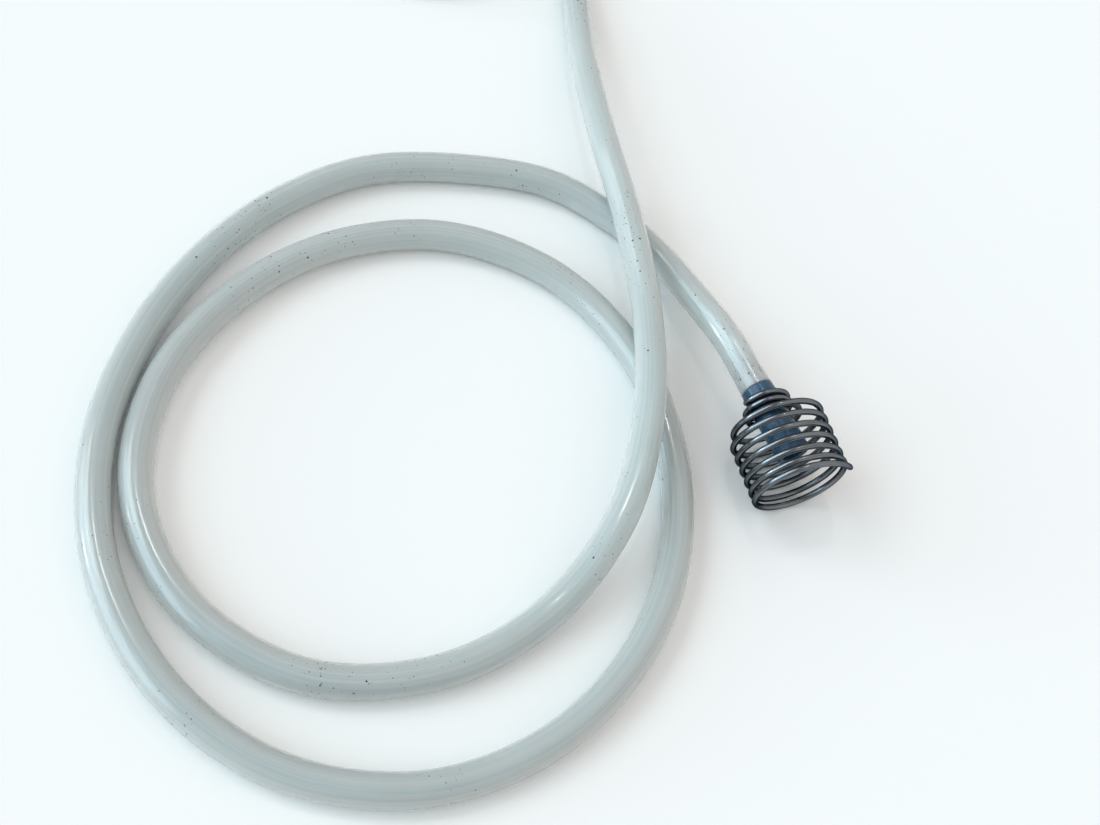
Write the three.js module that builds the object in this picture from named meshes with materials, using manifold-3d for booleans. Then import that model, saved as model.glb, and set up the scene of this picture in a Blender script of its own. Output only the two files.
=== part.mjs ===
// Siphon hose with a sprung wire strainer, for drawing liquid off a vessel.
// Millimetres, +Z up. The hose and the strainer lie on the plane z = 0.
// The origin is on that plane, in the middle of the flat under one turn of the
// strainer's cup. The strainer's axis runs along Y: its open mouth faces -Y, and
// the hose leaves it towards +Y.

import * as THREE from 'three';
import { mergeVertices } from 'three/addons/utils/BufferGeometryUtils.js';
import Module from 'manifold-3d';

const wasm = await Module();
wasm.setup();

// ---------------------------------------------------------------- driving sizes

// Hose
const hoseBore = 8;
const hoseWall = 2;
const hoseLength = 2000;
const hoseSides = 10;
const hoseStep = 28;

// Strainer: one length of round wire, wound as a neck, a shoulder and a cup
const wireDiameter = 2.4;
const wireSides = 8;
const stepsPerTurn = 28;
const cupRadius = 17.8;
const neckTurns = 2;
const shoulderTurns = 1.3;
const cupTurns = 6.09;
const neckPitch = 2.9;
const cupPitch = 4.75;
const mouthPitch = 3.2;
const pitchOpeningTurns = 3.1;
const pitchClosingTurns = 1.6;
const closedMouthTurns = 0.6;
const wireStartAngle = THREE.MathUtils.degToRad(5);
const wireEndSpring = 1.3;
const wireEndTurns = 0.12;

// Inlet tube: the strainer's neck grips it, and the hose is pushed over its barbs
const tubeWall = 2.2;
const tubeReach = 24.2;
const tubeLean = THREE.MathUtils.degToRad(7);
const collarLength = 4.5;
const collarDraft = 0.3;
const stubLength = 9;
const stubBore = 6.4;
const stubWall = 0.9;
const barbHeight = 0.4;
const barbCount = 3;
const edgeBreak = 0.6;
const tubeSegments = 32;

// Hose end: stretched over the barbs, and past them its bore tapers to the hose's
const hoseEndWall = 1.5;
const hoseEndPast = 1;
const hoseEndTaper = 4;
const flareSteps = 4;
const hoseEndSegments = 24;

// Coil of the length that is put away
const coilRadius = 67;
const coilPitch = 15;
const coilStepsPerTurn = 24;

// Depth of the flats where the wire and the hose lie, and gaps between pieces
const wireFlat = 0.5;
const hoseFlatShare = 0.1;
const jointGap = 0.3;
const neckClearance = 0.75;
const crossingGap = 1;

// Looks
const wireColor = 0x5b6066;
const plasticColor = 0x3f4f63;
const hoseColor = 0xbfc8c4;
const wireRoughness = 0.32;
const plasticRoughness = 0.4;
const hoseRoughness = 0.35;
const wireMetalness = 0.9;

// ---------------------------------------------------------------- derived sizes

const hoseOutside = hoseBore + 2 * hoseWall;
const hoseFlat = hoseFlatShare * hoseOutside;
const stubOutside = stubBore + 2 * stubWall;
const barbOutside = stubOutside + 2 * barbHeight;
const hoseEndBore = barbOutside + 2 * jointGap;
const hoseEndOutside = hoseEndBore + 2 * hoseEndWall;
const tubeOutside = hoseEndOutside + 2 * collarDraft;
const tubeBore = tubeOutside - 2 * tubeWall;
const wireRadius = wireDiameter / 2;
const wireTurns = neckTurns + shoulderTurns + cupTurns;
const neckRadius = tubeOutside / 2 + neckClearance + wireRadius;
const axisHeight = cupRadius + wireRadius - wireFlat;
const layHeight = hoseOutside / 2 - hoseFlat;
const crossingRise = hoseOutside + crossingGap;

// ---------------------------------------------------------------- helpers

const ease = (x) => THREE.MathUtils.smoothstep(x, 0, 1);

// The area under ease from 0 to x
function easeArea(x) {
  if (x <= 0) return 0;
  if (x >= 1) return x - 0.5;
  return x ** 3 - x ** 4 / 2;
}

function roundPoints(diameter, sides) {
  const points = [];
  for (let i = 0; i < sides; i++) {
    const angle = (2 * Math.PI * (i + 0.5)) / sides;
    const point = new THREE.Vector2(Math.cos(angle), Math.sin(angle));
    points.push(point.multiplyScalar(diameter / 2));
  }
  return points;
}

// A round bar, or a round tube where a bore is given, along a path
function sweep(outside, bore, sides, path, steps) {
  const section = new THREE.Shape(roundPoints(outside, sides));
  if (bore > 0) section.holes.push(new THREE.Path(roundPoints(bore, sides)));
  return new THREE.ExtrudeGeometry(section, { steps, extrudePath: path, bevelEnabled: false });
}

// A closed profile of [radius, y] corners turned about the Y axis
function turned(corners, segments) {
  const profile = corners.map(([radius, y]) => new THREE.Vector2(radius, y));
  profile.push(profile[0].clone());
  return new THREE.LatheGeometry(profile, segments);
}

function toSolid(geometry) {
  const bare = geometry.clone();
  bare.deleteAttribute('normal');
  bare.deleteAttribute('uv');
  const merged = mergeVertices(bare);
  const vertProperties = new Float32Array(merged.attributes.position.array);
  const triVerts = new Uint32Array(merged.index.array);
  return new wasm.Manifold(new wasm.Mesh({ numProp: 3, vertProperties, triVerts }));
}

function toGeometry(solid) {
  const mesh = solid.getMesh();
  const geometry = new THREE.BufferGeometry();
  geometry.setAttribute('position', new THREE.BufferAttribute(mesh.vertProperties, 3));
  geometry.setIndex(new THREE.BufferAttribute(mesh.triVerts, 1));
  geometry.computeVertexNormals();
  return geometry;
}

// Cut away what reaches below the height of the surface that the piece lies on
function layFlat(geometry, height) {
  geometry.computeBoundingBox();
  const size = geometry.boundingBox.getSize(new THREE.Vector3()).multiplyScalar(2);
  const middle = geometry.boundingBox.getCenter(new THREE.Vector3());
  const below = new THREE.BoxGeometry(size.x, size.y, size.z);
  below.translate(middle.x, middle.y, height - size.z / 2);
  return toGeometry(toSolid(geometry).subtract(toSolid(below)));
}

// The least clear space between stretches of a round bar that lie more than
// `apart` from each other along it, measured on points of its centre line
function leastGap(path, diameter, apart) {
  const samples = 1200;
  const points = [];
  const along = [0];
  for (let i = 0; i <= samples; i++) {
    points.push(path.getPoint(i / samples));
    if (i > 0) along.push(along[i - 1] + points[i].distanceTo(points[i - 1]));
  }
  let least = Infinity;
  for (let i = 0; i <= samples; i++) {
    for (let j = i + 1; j <= samples; j++) {
      if (along[j] - along[i] < apart) continue;
      least = Math.min(least, points[i].distanceTo(points[j]));
    }
  }
  return least - diameter;
}

function piece(name, geometry, color, roughness, metalness) {
  const mesh = new THREE.Mesh(
    geometry,
    new THREE.MeshStandardMaterial({ color, roughness, metalness }),
  );
  mesh.name = name;
  return mesh;
}

// ---------------------------------------------------------------- strainer coil

// The wire winds about the Y axis, from the neck at y = 0 towards -Y. Its last
// bit, at the mouth, stands a little proud of the cup.
class StrainerWire extends THREE.Curve {
  radiusAt(turn) {
    const grown = ease((turn - neckTurns) / shoulderTurns);
    const sprung = Math.max(0, 1 - (wireTurns - turn) / wireEndTurns);
    return neckRadius + (cupRadius - neckRadius) * grown + wireEndSpring * sprung ** 2;
  }

  // The neck is wound close, the cup is open, and the last turns close up again
  advanceAt(turn) {
    const openFrom = neckTurns - 1;
    const closeFrom = wireTurns - closedMouthTurns - pitchClosingTurns;
    const opened = pitchOpeningTurns * easeArea((turn - openFrom) / pitchOpeningTurns);
    const closed = pitchClosingTurns * easeArea((turn - closeFrom) / pitchClosingTurns);
    return neckPitch * turn + (cupPitch - neckPitch) * opened - (cupPitch - mouthPitch) * closed;
  }

  getPoint(share, target = new THREE.Vector3()) {
    const turn = share * wireTurns;
    const angle = wireStartAngle + 2 * Math.PI * turn;
    const radius = this.radiusAt(turn);
    return target.set(-radius * Math.cos(angle), -this.advanceAt(turn), radius * Math.sin(angle));
  }

  // Steps follow the turns, so a small turn gets as many as a large one
  getUtoTmapping(share) {
    return share;
  }
}

const wire = new StrainerWire();

// The flat at the origin is under a turn in the middle of the cup
const lowestPart = 0.75 - wireStartAngle / (2 * Math.PI);
const restTurn = Math.floor(wireTurns - cupTurns / 2 - lowestPart) + lowestPart;
const neckStart = wire.advanceAt(restTurn);
const neckMiddle = neckStart - wire.advanceAt(neckTurns / 2);

function strainerCoil() {
  const steps = Math.round(wireTurns * stepsPerTurn);
  return layFlat(sweep(wireDiameter, 0, wireSides, wire, steps), -axisHeight);
}

// ---------------------------------------------------------------- inlet tube

const tubeMouth = neckStart - tubeReach;
const collarStart = neckStart + wireRadius;
const collarEnd = collarStart + collarLength;
const stubEnd = collarEnd + stubLength;

// The barbs slope up from the stub's tip and fall steeply towards the collar
function barbCorners() {
  const corners = [];
  const barbPitch = (stubLength - edgeBreak) / barbCount;
  for (let i = 0; i < barbCount; i++) {
    const foot = collarEnd + edgeBreak + i * barbPitch;
    corners.push([stubOutside / 2, foot]);
    corners.push([barbOutside / 2, foot + barbPitch / 4]);
  }
  corners.push([stubOutside / 2, stubEnd]);
  return corners;
}

// The collar narrows a little towards the hose, and the bore narrows inside it
function inletTube() {
  const outer = tubeOutside / 2;
  const shoulder = outer - collarDraft;
  const bore = tubeBore / 2;
  const narrowing = collarEnd - edgeBreak;
  const corners = [
    [bore + edgeBreak, tubeMouth],
    [outer - edgeBreak, tubeMouth],
    [outer, tubeMouth + edgeBreak],
    [outer, collarStart],
    [shoulder, collarEnd - edgeBreak / 2],
    [shoulder - edgeBreak / 2, collarEnd],
    [stubOutside / 2, collarEnd],
    ...barbCorners(),
    [stubBore / 2, stubEnd],
    [stubBore / 2, narrowing],
    [bore, narrowing - (tubeBore - stubBore)],
    [bore, tubeMouth + edgeBreak],
  ];
  return turned(corners, tubeSegments);
}

// ---------------------------------------------------------------- hose end

const hoseExit = collarEnd + jointGap;
const taperStart = stubEnd + hoseEndPast;
const hoseFace = taperStart + hoseEndTaper;
const hoseEndLength = hoseFace - hoseExit;

// It is as wide as the collar that it butts on, and narrows to the free hose
function hoseEnd() {
  const free = hoseOutside / 2;
  const flare = hoseEndOutside / 2 - free;
  const corners = [];
  for (let i = 0; i <= flareSteps; i++) {
    const share = i / flareSteps;
    corners.push([free + flare * (1 - share) ** 2, hoseExit + share * hoseEndLength]);
  }
  corners.push([hoseBore / 2, hoseFace]);
  corners.push([hoseEndBore / 2, taperStart]);
  corners.push([hoseEndBore / 2, hoseExit]);
  return turned(corners, hoseEndSegments);
}

// A point of the axis of the leaning tube and hose end, past the neck's middle
function pastNeck(distance) {
  const x = -distance * Math.sin(tubeLean);
  const y = neckMiddle + distance * Math.cos(tubeLean);
  return new THREE.Vector3(x, y, axisHeight);
}

// ---------------------------------------------------------------- hose run

// Down from the strainer: x, y and the share of its height that is left
const droop = [
  [-4.9, 59, 0.9],
  [-7.7, 77.4, 0.59],
  [-12, 100.2, 0.22],
  [-24.3, 124.6, 0.02],
];

// One wide loop and one narrower loop inside it, lying on the surface
const loops = [
  [-52.5, 149],
  [-109.5, 161],
  [-153, 150.5],
  [-190.5, 126],
  [-220, 92.5],
  [-239.5, 52.5],
  [-244.5, 8],
  [-232.5, -35],
  [-204, -68.5],
  [-162.5, -85],
  [-118.5, -81],
  [-79.5, -59.5],
  [-51, -25],
  [-37, 17.5],
  [-38.5, 62],
  [-59, 101],
  [-96.5, 124.5],
  [-141, 125.5],
  [-182, 108],
  [-214, 77],
  [-229.5, 35.5],
  [-221.5, -8],
  [-190.5, -40],
  [-147, -49],
];

// A long low hump over both loops: x, y and the share of the crossing's rise
const hump = [
  [-104.5, -37.5, 0.09],
  [-70, -11, 0.72],
  [-46.5, 27, 0.99],
  [-32, 69.5, 1],
  [-24.5, 113.5, 1.03],
  [-20.5, 158, 1.02],
  [-12.5, 201.5, 0.63],
  [-0.5, 244.5, 0.1],
];

const coilStart = new THREE.Vector3(9, 310, layHeight);
const straightOut = 6;
const straightIn = 22;

// It leaves the hose end square to it, and meets the coil square to it
function runPath() {
  const start = hoseFace + jointGap - neckMiddle;
  const points = [pastNeck(start), pastNeck(start + straightOut)];
  for (const [x, y, share] of droop) {
    points.push(new THREE.Vector3(x, y, layHeight + share * (axisHeight - layHeight)));
  }
  for (const [x, y] of loops) points.push(new THREE.Vector3(x, y, layHeight));
  for (const [x, y, share] of hump) {
    points.push(new THREE.Vector3(x, y, layHeight + share * crossingRise));
  }
  points.push(new THREE.Vector3(coilStart.x, coilStart.y - straightIn, layHeight));
  points.push(new THREE.Vector3(coilStart.x, coilStart.y - jointGap, layHeight));
  return new THREE.CatmullRomCurve3(points, false, 'catmullrom');
}

const run = runPath();
const runLength = run.getLength();

function hoseRun() {
  const steps = Math.round(runLength / hoseStep);
  return layFlat(sweep(hoseOutside, hoseBore, hoseSides, run, steps), 0);
}

// ---------------------------------------------------------------- hose coil

// It goes straight in, winds to the left and inwards at a steady rate, and ends
// straight, at the hose's open outlet. The turns come from the length that the
// rest of the hose leaves over.
class PutAwayCoil extends THREE.Curve {
  constructor(length) {
    super();
    this.length = length;
    this.wound = length - 2 * hoseOutside;
  }

  getPoint(share, target = new THREE.Vector3()) {
    const along = share * this.length - hoseOutside;
    if (along < 0) return target.set(0, along, 0);
    const wound = Math.min(along, this.wound);
    const radius = Math.sqrt(coilRadius ** 2 - (coilPitch * wound) / Math.PI);
    const angle = (2 * Math.PI * (coilRadius - radius)) / coilPitch;
    const onward = new THREE.Vector3(-Math.sin(angle), Math.cos(angle), 0);
    target.set(radius * Math.cos(angle) - coilRadius, radius * Math.sin(angle), 0);
    return target.addScaledVector(onward, along - wound);
  }
}

const coil = new PutAwayCoil(hoseLength - hoseEndLength - runLength);

function hoseCoil() {
  const stepLength = (2 * Math.PI * coilRadius) / coilStepsPerTurn;
  const steps = Math.round(coil.length / stepLength);
  return layFlat(sweep(hoseOutside, hoseBore, hoseSides, coil, steps), -layHeight);
}

// ---------------------------------------------------------------- assembly

const strainer = new THREE.Group();
strainer.position.set(0, 0, axisHeight);

const coilLook = [wireColor, wireRoughness, wireMetalness];
const tubeLook = [plasticColor, plasticRoughness, 0];
const hoseLook = [hoseColor, hoseRoughness, 0];

const strainerCoilPiece = piece('strainer_coil', strainerCoil(), ...coilLook);
strainerCoilPiece.position.set(0, neckStart, 0);
strainer.add(strainerCoilPiece);

// The inlet tube leans in the neck, as the hose pulls on it
const leaning = new THREE.Group();
leaning.position.set(0, neckMiddle, 0);
leaning.rotation.z = tubeLean;
strainer.add(leaning);

const inletTubePiece = piece('inlet_tube', inletTube(), ...tubeLook);
inletTubePiece.position.set(0, -neckMiddle, 0);
leaning.add(inletTubePiece);

const hoseEndPiece = piece('hose_end', hoseEnd(), ...hoseLook);
hoseEndPiece.position.set(0, -neckMiddle, 0);
leaning.add(hoseEndPiece);

const hoseCoilPiece = piece('hose_coil', hoseCoil(), ...hoseLook);
hoseCoilPiece.position.copy(coilStart).add(new THREE.Vector3(0, hoseOutside, 0));

const siphonHose = new THREE.Group();
siphonHose.add(strainer);
siphonHose.add(piece('hose_run', hoseRun(), ...hoseLook));
siphonHose.add(hoseCoilPiece);

const wireGap = leastGap(wire, wireDiameter, Math.PI * neckRadius);
const coilGap = leastGap(coil, hoseOutside, 4 * hoseOutside);
const runGap = leastGap(run, hoseOutside, 4 * hoseOutside);
console.log(`least gap of the strainer wire to itself: ${wireGap.toFixed(2)} mm`);
console.log(`least gap of the put-away coil to itself: ${coilGap.toFixed(2)} mm`);
console.log(`least gap of the free stretch to itself: ${runGap.toFixed(2)} mm`);

export default siphonHose;
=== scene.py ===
"""A siphon hose laid in loops on a table, with a wound wire strainer on its inlet.

Metres, +Z up. The table is at z = 0 and the strainer's axis runs along Y.
"""

import math

import bmesh
import bpy
from bpy.props import FloatProperty, FloatVectorProperty, IntProperty, PointerProperty
from mathutils import Matrix, Vector


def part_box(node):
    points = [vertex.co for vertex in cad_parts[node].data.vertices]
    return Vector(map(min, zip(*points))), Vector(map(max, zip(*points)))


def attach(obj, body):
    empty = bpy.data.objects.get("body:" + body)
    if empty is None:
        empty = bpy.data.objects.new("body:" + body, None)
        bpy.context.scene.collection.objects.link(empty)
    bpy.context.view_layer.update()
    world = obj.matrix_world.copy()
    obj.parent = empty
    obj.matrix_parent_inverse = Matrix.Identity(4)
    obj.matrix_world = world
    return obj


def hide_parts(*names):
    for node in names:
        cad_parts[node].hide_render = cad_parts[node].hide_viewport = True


bl_info = {
    "name": "Siphon hose with spring strainer",
    "version": (1, 0, 0),
    "blender": (4, 5, 0),
    "location": "View3D > Sidebar > Siphon hose",
    "description": "Makes a clear siphon hose, its inlet tube and its wire strainer",
    "category": "Object",
}

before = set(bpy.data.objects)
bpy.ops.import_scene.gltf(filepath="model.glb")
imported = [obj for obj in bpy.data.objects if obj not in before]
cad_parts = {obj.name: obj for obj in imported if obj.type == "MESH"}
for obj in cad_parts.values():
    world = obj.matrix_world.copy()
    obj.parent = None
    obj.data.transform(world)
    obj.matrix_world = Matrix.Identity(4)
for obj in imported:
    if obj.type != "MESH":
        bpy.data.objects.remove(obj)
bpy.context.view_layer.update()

BODY = "root"

# ------------------------------------------------------------------ from the frame

tube_low, tube_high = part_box("inlet_tube")
TUBE_OUTSIDE = tube_high.z - tube_low.z
AXIS_HEIGHT = (tube_low.z + tube_high.z) / 2

# The gap where two pieces, or two of the hose's CAD nodes, meet
JOINT_GAP = 0.0003

# ------------------------------------------------------------------ how the wire winds

# Turns are counted from the neck. The pitch opens from the neck's last turn to the
# cup, and closes again before the mouth. The wire's last bit springs outwards.
WIRE = 0.0024
NECK_TURNS = 2.0
SHOULDER_TURNS = 1.3
CUP_TURNS = 6.09
WIRE_TURNS = NECK_TURNS + SHOULDER_TURNS + CUP_TURNS
NECK_PITCH = 0.0029
CUP_PITCH = 0.00475
MOUTH_PITCH = 0.0032
OPENING_TURNS = 3.1
CLOSING_TURNS = 1.6
CLOSED_TURNS = 0.6
WIRE_START = math.radians(5)
END_SPRING = 0.0013
END_TURNS = 0.12


def ease(x):
    """From 0 to 1, starting and ending level."""
    x = min(max(x, 0.0), 1.0)
    return x * x * (3 - 2 * x)


def ease_area(x):
    """The area under ease from 0 to x."""
    if x <= 0:
        return 0.0
    if x >= 1:
        return x - 0.5
    return x**3 - x**4 / 2


def advance(turn):
    """How far the wire has wound along the strainer's axis after some turns."""
    closed_from = WIRE_TURNS - CLOSED_TURNS - CLOSING_TURNS
    opened = OPENING_TURNS * ease_area((turn - NECK_TURNS + 1) / OPENING_TURNS)
    closed = CLOSING_TURNS * ease_area((turn - closed_from) / CLOSING_TURNS)
    opening = (CUP_PITCH - NECK_PITCH) * opened
    return NECK_PITCH * turn + opening - (CUP_PITCH - MOUTH_PITCH) * closed


# The origin is under the turn nearest the cup's middle, where the wire is lowest
LOWEST_PART = 0.75 - WIRE_START / (2 * math.pi)
REST_TURN = math.floor(WIRE_TURNS - CUP_TURNS / 2 - LOWEST_PART) + LOWEST_PART
NECK_START = advance(REST_TURN)

# ------------------------------------------------------------------ along the inlet tube

TUBE_REACH = 0.0242
COLLAR_LENGTH = 0.0045
COLLAR_DRAFT = 0.0003
STUB_LENGTH = 0.009
PAST_STUB = 0.001
BORE_TAPER = 0.004
STRAIGHT_OUT = 0.006
TUBE_EDGE = 0.0006
LEAN = math.radians(7)

NECK_MIDDLE = NECK_START - advance(NECK_TURNS / 2)
TUBE_MOUTH = NECK_START - TUBE_REACH
COLLAR_START = NECK_START + WIRE / 2
COLLAR_END = COLLAR_START + COLLAR_LENGTH
STUB_END = COLLAR_END + STUB_LENGTH
HOSE_EXIT = COLLAR_END + JOINT_GAP
TAPER_START = STUB_END + PAST_STUB
HOSE_FACE = TAPER_START + BORE_TAPER

# The inlet tube and the hose on it lean to the left, about the middle of the neck
PIVOT = Vector((0, NECK_MIDDLE, AXIS_HEIGHT))
LEANING = Matrix.Translation(PIVOT) @ Matrix.Rotation(LEAN, 4, "Z")
LEANING = LEANING @ Matrix.Translation(-PIVOT)


def along_tube(y):
    """The point of the leaning tube's axis that would be at y if it stood straight."""
    return LEANING @ Vector((0, y, AXIS_HEIGHT))


# ------------------------------------------------------------------ the hose's route

# How high the hose's middle lies, and how much higher it crosses its own loops
LAY_HEIGHT = 0.0048
CROSSING_RISE = 0.013
SPLINE_STEPS = 24

# Down from the strainer: x, y and the share of its height that is left
DROOP = [
    (-0.0049, 0.059, 0.9),
    (-0.0077, 0.0774, 0.59),
    (-0.012, 0.1002, 0.22),
    (-0.0243, 0.1246, 0.02),
]

# One wide loop and one narrower loop inside it, lying on the table
LOOPS = [
    (-0.0525, 0.149),
    (-0.1095, 0.161),
    (-0.153, 0.1505),
    (-0.1905, 0.126),
    (-0.22, 0.0925),
    (-0.2395, 0.0525),
    (-0.2445, 0.008),
    (-0.2325, -0.035),
    (-0.204, -0.0685),
    (-0.1625, -0.085),
    (-0.1185, -0.081),
    (-0.0795, -0.0595),
    (-0.051, -0.025),
    (-0.037, 0.0175),
    (-0.0385, 0.062),
    (-0.059, 0.101),
    (-0.0965, 0.1245),
    (-0.141, 0.1255),
    (-0.182, 0.108),
    (-0.214, 0.077),
    (-0.2295, 0.0355),
    (-0.2215, -0.008),
    (-0.1905, -0.04),
    (-0.147, -0.049),
]

# A long low hump over both loops: x, y and the share of the crossing's rise
HUMP = [
    (-0.1045, -0.0375, 0.09),
    (-0.07, -0.011, 0.72),
    (-0.0465, 0.027, 0.99),
    (-0.032, 0.0695, 1.0),
    (-0.0245, 0.1135, 1.03),
    (-0.0205, 0.158, 1.02),
    (-0.0125, 0.2015, 0.63),
    (-0.0005, 0.2445, 0.1),
]

COIL_START = Vector((0.009, 0.31, LAY_HEIGHT))
STRAIGHT_IN = 0.022
COIL_RADIUS = 0.067
COIL_PITCH = 0.015
COIL_STEP = 0.004

# ------------------------------------------------------------------ how finely they are drawn

HOSE_SIDES = 40
BORE_SIDES = 28
WIRE_SIDES = 20
WIRE_STEPS_PER_TURN = 88
TUBE_SIDES = 72
SAME_PLACE = 1e-7

# Edges that turn by more degrees than this are drawn sharp
SHARP_ANGLE = 40
MOULDED_ANGLE = 25

# ------------------------------------------------------------------ sizes and colours

# The gap between the tube and the neck's wire
NECK_SLACK = 0.00075

# How much of its radius the wire keeps at its cut ends
CUT_END_SHARE = 0.82


class HoseSizes(bpy.types.PropertyGroup):
    length: FloatProperty(
        name="Length",
        description="Whole length of the hose, with the part over the barbs",
        default=2.0,
        min=1.9,
        max=2.1,
        unit="LENGTH",
    )
    outside: FloatProperty(
        name="Outside", description="Outside diameter", default=0.012, unit="LENGTH"
    )
    bore: FloatProperty(name="Bore", description="Bore diameter", default=0.008, unit="LENGTH")
    step: FloatProperty(
        name="Step", description="Distance from ring to ring", default=0.004, unit="LENGTH"
    )
    colour: FloatVectorProperty(
        name="Colour",
        description="Colour of the milky wall",
        default=(0.665, 0.79, 0.82),
        subtype="COLOR",
        size=3,
        min=0,
        max=1,
    )


class StrainerSizes(bpy.types.PropertyGroup):
    wire: FloatProperty(
        name="Wire", description="Diameter of the wire", default=WIRE, unit="LENGTH"
    )
    neck_radius: FloatProperty(
        name="Neck radius",
        description="Radius of the neck, to the middle of the wire",
        default=TUBE_OUTSIDE / 2 + NECK_SLACK + WIRE / 2,
        unit="LENGTH",
    )
    cup_radius: FloatProperty(
        name="Cup radius",
        description="Radius of the cup, to the middle of the wire",
        default=0.0178,
        unit="LENGTH",
    )
    colour: FloatVectorProperty(
        name="Colour",
        description="Colour of the wire",
        default=(0.175, 0.192, 0.21),
        subtype="COLOR",
        size=3,
        min=0,
        max=1,
    )


class TubeSizes(bpy.types.PropertyGroup):
    wall: FloatProperty(
        name="Wall", description="Wall of the inlet tube", default=0.0022, unit="LENGTH"
    )
    stub_bore: FloatProperty(
        name="Stub bore", description="Bore of the barbed stub", default=0.0064, unit="LENGTH"
    )
    stub_wall: FloatProperty(
        name="Stub wall", description="Wall of the barbed stub", default=0.0009, unit="LENGTH"
    )
    barb_height: FloatProperty(
        name="Barb height", description="Height of a barb", default=0.0004, unit="LENGTH"
    )
    barbs: IntProperty(name="Barbs", description="Barbs on the stub", default=3, min=1)
    colour: FloatVectorProperty(
        name="Colour",
        description="Colour of the moulded plastic",
        default=(0.026, 0.075, 0.135),
        subtype="COLOR",
        size=3,
        min=0,
        max=1,
    )


class StageSizes(bpy.types.PropertyGroup):
    floor: FloatProperty(
        name="Floor", description="Side of the floor", default=60.0, unit="LENGTH"
    )
    lights: FloatProperty(
        name="Lights", description="Strength of all the lights together", default=1.0, min=0
    )
    sky: FloatProperty(
        name="Sky", description="Strength of the even light from all round", default=0.405
    )


# ------------------------------------------------------------------ mesh helpers


def spline(points, steps):
    """A smooth line through points: Catmull-Rom, with its ends mirrored."""
    line = [2 * points[0] - points[1], *points, 2 * points[-1] - points[-2]]
    made = []
    for a, b, c, d in zip(line, line[1:], line[2:], line[3:]):
        for i in range(steps):
            t = i / steps
            made.append(
                0.5
                * (
                    2 * b
                    + (c - a) * t
                    + (2 * a - 5 * b + 4 * c - d) * t**2
                    + (3 * b - a - 3 * c + d) * t**3
                )
            )
    made.append(points[-1].copy())
    return made


def lengths_along(line):
    """How far along a line each of its points lies."""
    along = [0.0]
    for a, b in zip(line, line[1:]):
        along.append(along[-1] + (b - a).length)
    return along


def spaced(line, step):
    """The same line, with its points evenly about a step apart."""
    along = lengths_along(line)
    count = max(1, round(along[-1] / step))
    made = []
    k = 0
    for i in range(count + 1):
        want = along[-1] * i / count
        while k < len(line) - 2 and along[k + 1] < want:
            k += 1
        share = (want - along[k]) / (along[k + 1] - along[k])
        made.append(line[k].lerp(line[k + 1], share))
    return made


def rings(line):
    """A matrix for each point, with Z along the line and as little twist as can be."""
    made = []
    side = None
    last = len(line) - 1
    for i, point in enumerate(line):
        way = (line[min(i + 1, last)] - line[max(i - 1, 0)]).normalized()
        if side is None:
            side = way.orthogonal()
        side = (side - way * side.dot(way)).normalized()
        over = way.cross(side)
        turned = Matrix((side, over, way)).transposed().to_4x4()
        made.append(Matrix.Translation(point) @ turned)
    return made


def sweep(bm, line, radii, sides):
    """Draws a ring along a line, and returns the edges of its first and last rings.

    The vertex layer "lay" keeps where each vertex is round and along the line.
    """
    lay = bm.verts.layers.float_vector.get("lay") or bm.verts.layers.float_vector.new("lay")
    along = lengths_along(line)
    frames = rings(line)
    places = [m @ Matrix.Diagonal((r, r, r, 1)) for m, r in zip(frames, radii)]
    verts = bmesh.ops.create_circle(bm, radius=1, segments=sides, matrix=places[0])["verts"]
    edges = list({e for v in verts for e in v.link_edges})
    first = edges
    for i, place in enumerate(places):
        if i > 0:
            grown = bmesh.ops.extrude_edge_only(bm, edges=edges)["geom"]
            verts = [g for g in grown if isinstance(g, bmesh.types.BMVert)]
            new = set(verts)
            edges = [
                g
                for g in grown
                if isinstance(g, bmesh.types.BMEdge) and all(v in new for v in g.verts)
            ]
            bmesh.ops.transform(bm, matrix=place @ places[i - 1].inverted(), verts=verts)
        back = frames[i].inverted()
        for v in verts:
            local = back @ v.co
            v[lay] = (local.x, local.y, along[i])
    return first, edges


def lie_on_table(bm):
    """Flattens what would reach below the table."""
    for v in bm.verts:
        v.co.z = max(v.co.z, 0.0)


def finished(bm, name, material, sharp=SHARP_ANGLE):
    """Makes the mesh an object of its own that rides with the part."""
    bmesh.ops.recalc_face_normals(bm, faces=bm.faces)
    mesh = bpy.data.meshes.new(name)
    bm.to_mesh(mesh)
    bm.free()
    mesh.polygons.foreach_set("use_smooth", [True] * len(mesh.polygons))
    mesh.set_sharp_from_angle(angle=math.radians(sharp))
    mesh.materials.append(material)
    piece = bpy.data.objects.new(name, mesh)
    bpy.context.scene.collection.objects.link(piece)
    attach(piece, BODY)
    return piece


# ------------------------------------------------------------------ material helpers


def new_material(name, uniform):
    """A new material, its node tree and its Principled shader, with uniform inputs set."""
    material = bpy.data.materials.new(name)
    material.use_nodes = True
    shader = material.node_tree.nodes["Principled BSDF"]
    for label, value in uniform.items():
        shader.inputs[label].default_value = value
    return material, material.node_tree, shader


def node(tree, kind, **values):
    """A new node, with its settings."""
    made = tree.nodes.new(kind)
    for key, value in values.items():
        setattr(made, key, value)
    return made


def group_value(tree, group, **inputs):
    """What a node group puts out in a tree. Each input is a value or a socket."""
    made = node(tree, "ShaderNodeGroup", node_tree=group)
    for key, value in inputs.items():
        socket = made.inputs[key.replace("_", " ").capitalize()]
        if isinstance(value, bpy.types.NodeSocket):
            tree.links.new(value, socket)
        else:
            socket.default_value = value
    return made.outputs[0]


def object_place(tree):
    """Where a point is on the object."""
    return node(tree, "ShaderNodeTexCoord").outputs["Object"]


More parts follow.
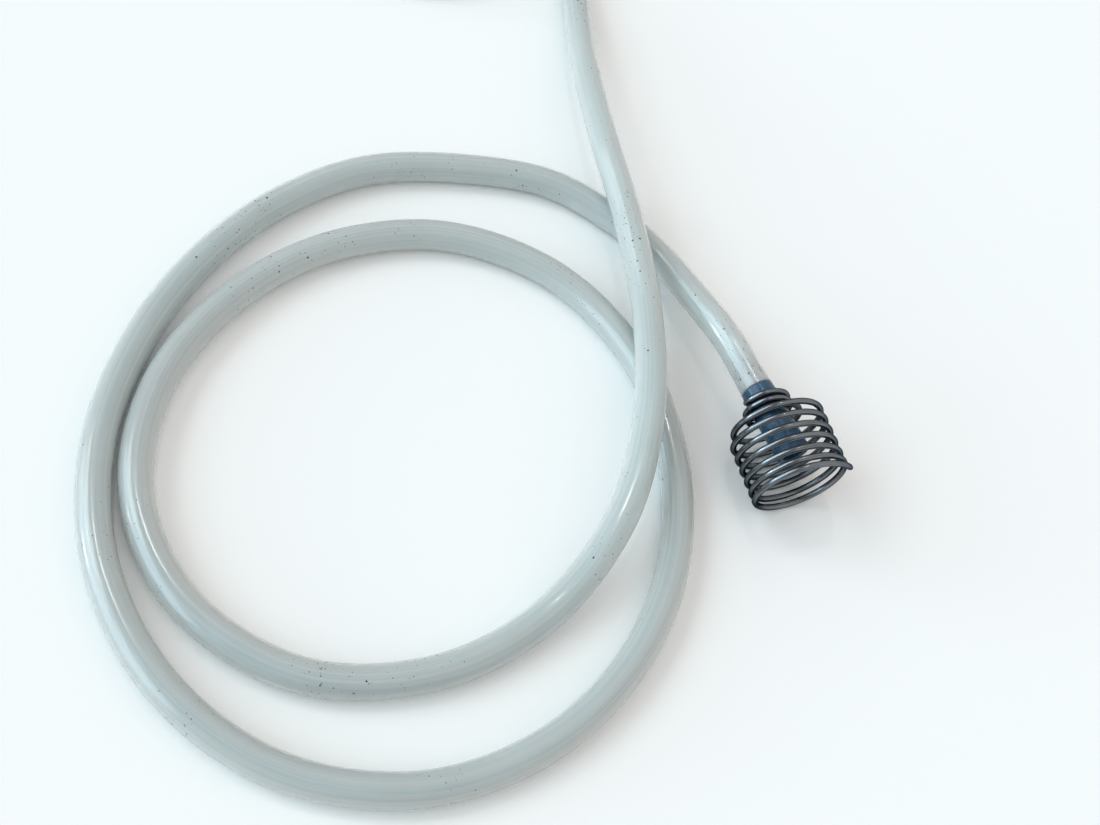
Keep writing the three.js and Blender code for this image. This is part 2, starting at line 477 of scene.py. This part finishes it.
def drawn_place(tree, share):
    """Where a point is round and along a swept piece, with its length cut to a share."""
    lay = node(tree, "ShaderNodeAttribute", attribute_name="lay")
    along = node(tree, "ShaderNodeMapping")
    along.inputs["Scale"].default_value = (1, 1, share)
    tree.links.new(lay.outputs["Vector"], along.inputs["Vector"])
    return along.outputs["Vector"]


def new_group(name, inputs, outputs):
    """A shader node group with float or vector sockets."""
    tree = bpy.data.node_groups.new(name, "ShaderNodeTree")
    for label, kind in inputs:
        tree.interface.new_socket(name=label, in_out="INPUT", socket_type=kind)
    for label, kind in outputs:
        tree.interface.new_socket(name=label, in_out="OUTPUT", socket_type=kind)
    return tree, tree.nodes.new("NodeGroupInput"), tree.nodes.new("NodeGroupOutput")


def specks_group():
    """A mask of a few small uneven specks, each in a cell of its own."""
    name = "Specks"
    if name in bpy.data.node_groups:
        return bpy.data.node_groups[name]
    tree, start, end = new_group(
        name,
        [
            ("Vector", "NodeSocketVector"),
            ("Cells per metre", "NodeSocketFloat"),
            ("Share", "NodeSocketFloat"),
            ("Size", "NodeSocketFloat"),
        ],
        [("Mask", "NodeSocketFloat")],
    )
    link = tree.links.new
    in_cells = node(tree, "ShaderNodeVectorMath", operation="SCALE")
    link(start.outputs["Vector"], in_cells.inputs["Vector"])
    link(start.outputs["Cells per metre"], in_cells.inputs["Scale"])
    # Noise moves each point by up to half a cell, so no speck is round
    wobble = node(tree, "ShaderNodeTexNoise")
    wobble.inputs["Scale"].default_value = 7.0
    link(in_cells.outputs["Vector"], wobble.inputs["Vector"])
    uneven = node(tree, "ShaderNodeVectorMath", operation="MULTIPLY_ADD")
    uneven.inputs[1].default_value = (0.5, 0.5, 0.5)
    link(wobble.outputs["Color"], uneven.inputs[0])
    link(in_cells.outputs["Vector"], uneven.inputs[2])
    cells = node(tree, "ShaderNodeTexVoronoi", feature="F1")
    cells.inputs["Scale"].default_value = 1.0
    link(uneven.outputs["Vector"], cells.inputs["Vector"])
    chosen = node(tree, "ShaderNodeSeparateColor")
    link(cells.outputs["Color"], chosen.inputs["Color"])
    few = node(tree, "ShaderNodeMath", operation="LESS_THAN")
    link(chosen.outputs["Red"], few.inputs[0])
    link(start.outputs["Share"], few.inputs[1])
    reach = node(tree, "ShaderNodeMath", operation="MULTIPLY")
    link(chosen.outputs["Green"], reach.inputs[0])
    link(start.outputs["Size"], reach.inputs[1])
    inside = node(tree, "ShaderNodeMath", operation="LESS_THAN")
    link(cells.outputs["Distance"], inside.inputs[0])
    link(reach.outputs[0], inside.inputs[1])
    both = node(tree, "ShaderNodeMath", operation="MULTIPLY")
    link(few.outputs[0], both.inputs[0])
    link(inside.outputs[0], both.inputs[1])
    link(both.outputs[0], end.inputs["Mask"])
    return tree


def mottle_group():
    """Soft uneven patches between a low and a high value."""
    name = "Mottle"
    if name in bpy.data.node_groups:
        return bpy.data.node_groups[name]
    tree, start, end = new_group(
        name,
        [
            ("Vector", "NodeSocketVector"),
            ("Scale", "NodeSocketFloat"),
            ("Detail", "NodeSocketFloat"),
            ("Low", "NodeSocketFloat"),
            ("High", "NodeSocketFloat"),
        ],
        [("Value", "NodeSocketFloat")],
    )
    link = tree.links.new
    noise = node(tree, "ShaderNodeTexNoise")
    link(start.outputs["Vector"], noise.inputs["Vector"])
    link(start.outputs["Scale"], noise.inputs["Scale"])
    link(start.outputs["Detail"], noise.inputs["Detail"])
    spread = node(tree, "ShaderNodeMapRange")
    spread.inputs["From Min"].default_value = 0.3
    spread.inputs["From Max"].default_value = 0.7
    link(noise.outputs["Fac"], spread.inputs["Value"])
    link(start.outputs["Low"], spread.inputs["To Min"])
    link(start.outputs["High"], spread.inputs["To Max"])
    link(spread.outputs["Result"], end.inputs["Value"])
    return tree


def mottle(tree, vector, scale, detail, low=0.0, high=1.0):
    """Soft patches between a low and a high value."""
    values = {"scale": scale, "detail": detail, "low": low, "high": high}
    return group_value(tree, mottle_group(), vector=vector, **values)


def specks(tree, vector, cells_per_metre, share, size):
    """A mask of specks, in the share of the cells that a socket gives."""
    values = {"cells_per_metre": cells_per_metre, "share": share, "size": size}
    return group_value(tree, specks_group(), vector=vector, **values)


def shaded(tree, value, low, high):
    """A colour that runs from low to high with a value."""
    mix = node(tree, "ShaderNodeMix", data_type="RGBA")
    mix.inputs["A"].default_value = (*low, 1)
    mix.inputs["B"].default_value = (*high, 1)
    tree.links.new(value, mix.inputs["Factor"])
    return mix.outputs["Result"]


def covered(tree, colour, mask, over):
    """A colour with another laid over it where the mask is."""
    mix = node(tree, "ShaderNodeMix", data_type="RGBA")
    mix.inputs["B"].default_value = (*over, 1)
    tree.links.new(colour, mix.inputs["A"])
    tree.links.new(mask, mix.inputs["Factor"])
    return mix.outputs["Result"]


def times(colour, factor):
    """A colour made darker or paler."""
    return tuple(min(1.0, c * factor) for c in colour)


def add_bump(tree, shader, height, strength, distance):
    """Lets a value raise and sink a shader's surface."""
    bump = node(tree, "ShaderNodeBump")
    bump.inputs["Strength"].default_value = strength
    bump.inputs["Distance"].default_value = distance
    tree.links.new(height, bump.inputs["Height"])
    tree.links.new(bump.outputs["Normal"], shader.inputs["Normal"])


# ------------------------------------------------------------------ materials

DRAWN_LINES = (0.86, 0.91, 0.88)
# Painted light: the pale cream laid onto the hose where its surface turns edge-on
PAINTED_RIM_LIGHT = (0.97, 0.97, 0.88)
GREY_GRAINS = (0.28, 0.32, 0.32)
DARK_SPECKS = (0.02, 0.025, 0.035)
DARK_EDGE = (0.12, 0.13, 0.14)


def hose_material(colour):
    """Milky clear hose: a hazy wall under a glossy skin, with specks of dirt, and a painted
    pale rim of light where its surface turns edge-on.
    """
    uniform = {
        "IOR": 1.42,
        "Transmission Weight": 0.45,
        "Subsurface Weight": 1.0,
        "Subsurface Radius": (0.9, 1.0, 1.0),
        "Subsurface Scale": 0.006,
        "Coat Weight": 0.6,
        "Coat Roughness": 0.08,
    }
    material, tree, shader = new_material("milky_hose", uniform)
    place = object_place(tree)
    haze = mottle(tree, place, scale=30.0, detail=1.0)
    tint = shaded(tree, haze, times(colour, 0.95), times(colour, 1.05))
    drawn = drawn_place(tree, 0.004)
    lines = mottle(tree, drawn, scale=1100.0, detail=1.0, low=-0.2, high=0.8)
    lined = covered(tree, tint, lines, DRAWN_LINES)
    # Painted light: the wall is painted pale cream towards its edge-on sides, by facing
    painted_rim_mask = node(tree, "ShaderNodeLayerWeight")
    painted_rim_mask.inputs["Blend"].default_value = 0.32
    painted_rim_colour = covered(tree, lined, painted_rim_mask.outputs["Facing"], PAINTED_RIM_LIGHT)
    soiled = mottle(tree, place, scale=26.0, detail=2.0, low=-0.65, high=0.6)
    grains = specks(tree, place, cells_per_metre=900.0, share=soiled, size=0.3)
    grained = covered(tree, painted_rim_colour, grains, GREY_GRAINS)
    dirt = specks(tree, place, cells_per_metre=420.0, share=soiled, size=0.19)
    specked = covered(tree, grained, dirt, DARK_SPECKS)
    tree.links.new(specked, shader.inputs["Base Color"])
    worn = mottle(tree, place, scale=60.0, detail=1.0, low=0.14, high=0.24)
    tree.links.new(worn, shader.inputs["Roughness"])
    add_bump(tree, shader, lines, strength=0.5, distance=0.00006)
    return material


def wire_material(colour):
    """Drawn spring wire: dark satin steel with fine streaks along it."""
    uniform = {"Metallic": 1.0, "Specular Tint": (*DARK_EDGE, 1)}
    material, tree, shader = new_material("spring_wire", uniform)
    streaks = mottle(tree, drawn_place(tree, 0.04), scale=2600.0, detail=3.0)
    tint = shaded(tree, streaks, times(colour, 0.7), times(colour, 1.35))
    tree.links.new(tint, shader.inputs["Base Color"])
    patches = mottle(tree, drawn_place(tree, 1), scale=300.0, detail=2.0, low=0.19, high=0.27)
    tree.links.new(patches, shader.inputs["Roughness"])
    add_bump(tree, shader, streaks, strength=0.15, distance=0.00002)
    return material


def plastic_material(colour):
    """Moulded slate plastic, semi-gloss, a little uneven."""
    uniform = {"IOR": 1.5, "Specular IOR Level": 0.35}
    material, tree, shader = new_material("slate_plastic", uniform)
    place = object_place(tree)
    patches = mottle(tree, place, scale=220.0, detail=3.0)
    tint = shaded(tree, patches, times(colour, 0.9), times(colour, 1.12))
    tree.links.new(tint, shader.inputs["Base Color"])
    gloss = mottle(tree, place, scale=900.0, detail=3.0, low=0.2, high=0.32)
    tree.links.new(gloss, shader.inputs["Roughness"])
    add_bump(tree, shader, gloss, strength=0.2, distance=0.00004)
    return material


# ------------------------------------------------------------------ camera

CAMERA_PLACE = (-0.2599, -0.18728, 0.43826)
CAMERA_RIGHT = (0.92611, -0.29856, 0.23062)
CAMERA_UP = (0.14782, 0.8496, 0.50629)
CAMERA_LENS = 45.82
CAMERA_SENSOR = 36.0
CAMERA_NEAR = 0.01


class SIPHON_OT_camera(bpy.types.Operator):
    """Add the camera that sees the hose from above its loops"""

    bl_idname = "siphon.camera"
    bl_label = "Camera"

    def execute(self, context):
        data = bpy.data.cameras.new("camera")
        data.sensor_fit = "HORIZONTAL"
        data.sensor_width = CAMERA_SENSOR
        data.lens = CAMERA_LENS
        data.clip_start = CAMERA_NEAR
        camera = bpy.data.objects.new("camera", data)
        right = Vector(CAMERA_RIGHT).normalized()
        back = right.cross(Vector(CAMERA_UP)).normalized()
        up = back.cross(right)
        turned = Matrix((right, up, back)).transposed().to_4x4()
        camera.matrix_world = Matrix.Translation(CAMERA_PLACE) @ turned
        context.scene.collection.objects.link(camera)
        context.scene.camera = camera
        return {"FINISHED"}


# ------------------------------------------------------------------ hose


def run_line():
    """The free stretch, from the hose's end at the strainer to the coil."""
    start = HOSE_FACE + JOINT_GAP
    points = [along_tube(start), along_tube(start + STRAIGHT_OUT)]
    for x, y, share in DROOP:
        points.append(Vector((x, y, LAY_HEIGHT + share * (AXIS_HEIGHT - LAY_HEIGHT))))
    points += [Vector((x, y, LAY_HEIGHT)) for x, y in LOOPS]
    points += [Vector((x, y, LAY_HEIGHT + share * CROSSING_RISE)) for x, y, share in HUMP]
    points.append(COIL_START - Vector((0, STRAIGHT_IN, 0)))
    points.append(COIL_START - Vector((0, JOINT_GAP, 0)))
    return spline(points, SPLINE_STEPS)


def coil_line(length, straight):
    """The put-away coil: straight in, wound inwards to the left, and straight out."""
    wound = length - 2 * straight
    line = [COIL_START.copy()]
    middle = COIL_START + Vector((-COIL_RADIUS, straight, 0))
    count = round(wound / COIL_STEP)
    for i in range(count + 1):
        radius = math.sqrt(COIL_RADIUS**2 - COIL_PITCH * wound * i / count / math.pi)
        angle = 2 * math.pi * (COIL_RADIUS - radius) / COIL_PITCH
        line.append(middle + radius * Vector((math.cos(angle), math.sin(angle), 0)))
    line.append(line[-1] + straight * Vector((-math.sin(angle), math.cos(angle), 0)))
    return line


def hose_radii(sizes, tube, s):
    """The hose's radius outside and inside at a length from the collar."""
    free = sizes.outside / 2
    flare = TUBE_OUTSIDE / 2 - COLLAR_DRAFT - free
    unstretched = min(1.0, s / (HOSE_FACE - HOSE_EXIT))
    bore = sizes.bore / 2
    on_barbs = tube.stub_bore / 2 + tube.stub_wall + tube.barb_height + JOINT_GAP
    past = ease((s - TAPER_START + HOSE_EXIT) / (HOSE_FACE - TAPER_START))
    return free + flare * (1 - unstretched) ** 2, on_barbs + (bore - on_barbs) * past


class SIPHON_OT_hose(bpy.types.Operator):
    """Add the clear hose, from the inlet tube's barbs to its open outlet"""

    bl_idname = "siphon.hose"
    bl_label = "Hose"

    def execute(self, context):
        sizes = context.scene.siphon_hose
        run = run_line()
        over_barbs = HOSE_FACE - HOSE_EXIT
        put_away = sizes.length - over_barbs - lengths_along(run)[-1]
        whole = [along_tube(HOSE_EXIT), *run, *coil_line(put_away, sizes.outside)]
        line = spaced(whole, sizes.step)
        tube = context.scene.siphon_tube
        radii = [hose_radii(sizes, tube, s) for s in lengths_along(line)]
        outer, inner = zip(*radii)
        bm = bmesh.new()
        outside_start, outside_end = sweep(bm, line, outer, HOSE_SIDES)
        inside_start, inside_end = sweep(bm, line, inner, BORE_SIDES)
        bmesh.ops.bridge_loops(bm, edges=outside_start + inside_start)
        bmesh.ops.bridge_loops(bm, edges=outside_end + inside_end)
        lie_on_table(bm)
        piece = finished(bm, "clear_hose", hose_material(sizes.colour))
        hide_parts("hose_end", "hose_run", "hose_coil")
        return {"FINISHED"}


# ------------------------------------------------------------------ strainer


def wire_line(sizes, steps_per_turn):
    """The wire's centre line, from the neck to its proud end at the mouth."""
    line = []
    count = round(WIRE_TURNS * steps_per_turn)
    for i in range(count + 1):
        turn = WIRE_TURNS * i / count
        angle = WIRE_START + 2 * math.pi * turn
        grown = ease((turn - NECK_TURNS) / SHOULDER_TURNS)
        sprung = max(0.0, 1 - (WIRE_TURNS - turn) / END_TURNS)
        radius = sizes.neck_radius + (sizes.cup_radius - sizes.neck_radius) * grown
        radius += END_SPRING * sprung**2
        x = -radius * math.cos(angle)
        z = AXIS_HEIGHT + radius * math.sin(angle)
        line.append(Vector((x, NECK_START - advance(turn), z)))
    return line


class SIPHON_OT_strainer(bpy.types.Operator):
    """Add the strainer, wound from one length of wire"""

    bl_idname = "siphon.strainer"
    bl_label = "Strainer"

    def execute(self, context):
        sizes = context.scene.siphon_strainer
        line = wire_line(sizes, WIRE_STEPS_PER_TURN)
        radii = [sizes.wire / 2] * len(line)
        radii[0] *= CUT_END_SHARE
        radii[-1] *= CUT_END_SHARE
        bm = bmesh.new()
        for loop in sweep(bm, line, radii, WIRE_SIDES):
            bmesh.ops.contextual_create(bm, geom=loop)
        lie_on_table(bm)
        piece = finished(bm, "wire_strainer", wire_material(sizes.colour))
        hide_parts("strainer_coil")
        return {"FINISHED"}


# ------------------------------------------------------------------ inlet tube


def tube_profile(sizes):
    """The tube's closed outline as (radius, y): its outside, its barbs and its bore."""
    edge = TUBE_EDGE
    outer = TUBE_OUTSIDE / 2
    bore = outer - sizes.wall
    stub_bore = sizes.stub_bore / 2
    stub = stub_bore + sizes.stub_wall
    shoulder = outer - COLLAR_DRAFT
    narrowing = COLLAR_END - edge
    outline = [
        (bore + edge, TUBE_MOUTH),
        (outer - edge, TUBE_MOUTH),
        (outer, TUBE_MOUTH + edge),
        (outer, COLLAR_START),
        (shoulder, COLLAR_END - edge / 2),
        (shoulder - edge / 2, COLLAR_END),
        (stub, COLLAR_END),
    ]
    pitch = (STUB_END - COLLAR_END - edge) / sizes.barbs
    for i in range(sizes.barbs):
        foot = COLLAR_END + edge + i * pitch
        outline.append((stub, foot))
        outline.append((stub + sizes.barb_height, foot + pitch / 4))
    outline += [
        (stub, STUB_END),
        (stub_bore, STUB_END),
        (stub_bore, narrowing),
        (bore, narrowing - 2 * (bore - stub_bore)),
        (bore, TUBE_MOUTH + edge),
    ]
    return outline


class SIPHON_OT_inlet_tube(bpy.types.Operator):
    """Add the inlet tube, with its collar and barbed stub"""

    bl_idname = "siphon.inlet_tube"
    bl_label = "Inlet tube"

    def execute(self, context):
        sizes = context.scene.siphon_tube
        bm = bmesh.new()
        outline = [bm.verts.new((r, y, AXIS_HEIGHT)) for r, y in tube_profile(sizes)]
        edges = [bm.edges.new(pair) for pair in zip(outline, outline[1:] + outline[:1])]
        bmesh.ops.spin(
            bm,
            geom=outline + edges,
            cent=(0, 0, AXIS_HEIGHT),
            axis=(0, 1, 0),
            angle=2 * math.pi,
            steps=TUBE_SIDES,
            use_merge=True,
            use_duplicate=False,
        )
        bmesh.ops.remove_doubles(bm, verts=bm.verts, dist=SAME_PLACE)
        bmesh.ops.transform(bm, matrix=LEANING, verts=bm.verts)
        material = plastic_material(sizes.colour)
        piece = finished(bm, "slate_inlet_tube", material, MOULDED_ANGLE)
        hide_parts("inlet_tube")
        return {"FINISHED"}


# ------------------------------------------------------------------ stage

FLOOR_COLOUR = (0.97, 0.97, 0.97)
FLOOR_DROP = 0.0002

# Each light's direction, its spread in degrees, its strength and its colour
LIGHTS = {
    "window": ((-0.88, 0.22, 0.3), 60, 2.45, (0.66, 0.89, 1.0)),
    "window_edge": ((-0.9, 0.4, 0.12), 6, 0.3, (0.9, 0.97, 1.0)),
    "skylight": ((-0.53, 0.5, 0.69), 24, 0.5, (0.93, 1.0, 0.98)),
    "ceiling_lamp": ((-0.02, 0.41, 0.91), 6, 0.15, (1.0, 0.98, 0.93)),
    "far_wall": ((0.7, -0.2, 0.66), 120, 0.98, (1.0, 0.96, 0.9)),
}


def floor_material():
    """Plain pale matt paint."""
    uniform = {
        "Base Color": (*FLOOR_COLOUR, 1),
        "Roughness": 0.9,
        "Specular IOR Level": 0.0,
    }
    return new_material("pale_floor", uniform)[0]


def plain_sky(strength):
    """An even white sky."""
    world = bpy.data.worlds.new("sky")
    world.use_nodes = True
    sky = world.node_tree.nodes["Background"]
    sky.inputs["Color"].default_value = (1, 1, 1, 1)
    sky.inputs["Strength"].default_value = strength
    return world


def add_light(context, name, aim, spread, strength, colour):
    """A light far away in a direction, as wide in the sky as its spread."""
    data = bpy.data.lights.new(name, "SUN")
    data.angle = math.radians(spread)
    data.energy = strength
    data.color = colour
    light = bpy.data.objects.new(name, data)
    light.rotation_euler = Vector(aim).to_track_quat("Z", "Y").to_euler()
    context.scene.collection.objects.link(light)


class SIPHON_OT_stage(bpy.types.Operator):
    """Add the pale floor, the soft lights and the even sky"""

    bl_idname = "siphon.stage"
    bl_label = "Stage"

    def execute(self, context):
        sizes = context.scene.siphon_stage
        bm = bmesh.new()
        bmesh.ops.create_grid(bm, x_segments=1, y_segments=1, size=sizes.floor / 2)
        bmesh.ops.translate(bm, verts=bm.verts, vec=(0, 0, -FLOOR_DROP))
        mesh = bpy.data.meshes.new("floor")
        bm.to_mesh(mesh)
        bm.free()
        mesh.materials.append(floor_material())
        floor = bpy.data.objects.new("floor", mesh)
        context.scene.collection.objects.link(floor)
        for name, (aim, spread, strength, colour) in LIGHTS.items():
            add_light(context, name, aim, spread, strength * sizes.lights, colour)
        context.scene.world = plain_sky(sizes.sky)
        context.scene.view_settings.view_transform = "Standard"
        return {"FINISHED"}


# ------------------------------------------------------------------ panel


class SIPHON_PT_panel(bpy.types.Panel):
    """The sizes and colours of the siphon hose, and the steps that make it"""

    bl_idname = "SIPHON_PT_panel"
    bl_label = "Siphon hose"
    bl_space_type = "VIEW_3D"
    bl_region_type = "UI"
    bl_category = "Siphon hose"

    def draw(self, context):
        for group in GROUPS:
            settings = getattr(context.scene, group)
            box = self.layout.box()
            box.label(text=group.replace("siphon_", "").capitalize())
            for name in settings.bl_rna.properties.keys():
                if name not in {"rna_type", "name"}:
                    box.prop(settings, name)
        for operator in STEPS:
            self.layout.operator(operator.bl_idname)


GROUPS = {
    "siphon_hose": HoseSizes,
    "siphon_strainer": StrainerSizes,
    "siphon_tube": TubeSizes,
    "siphon_stage": StageSizes,
}
STEPS = (
    SIPHON_OT_camera,
    SIPHON_OT_hose,
    SIPHON_OT_strainer,
    SIPHON_OT_inlet_tube,
    SIPHON_OT_stage,
)
CLASSES = (*GROUPS.values(), *STEPS, SIPHON_PT_panel)


def register():
    for made in CLASSES:
        bpy.utils.register_class(made)
    for name, group in GROUPS.items():
        setattr(bpy.types.Scene, name, PointerProperty(type=group))


def unregister():
    for name in GROUPS:
        delattr(bpy.types.Scene, name)
    for made in reversed(CLASSES):
        bpy.utils.unregister_class(made)


def main():
    register()
    bpy.ops.siphon.camera()
    bpy.ops.siphon.hose()
    bpy.ops.siphon.strainer()
    bpy.ops.siphon.inlet_tube()
    bpy.ops.siphon.stage()


if __name__ == "__main__":
    main()
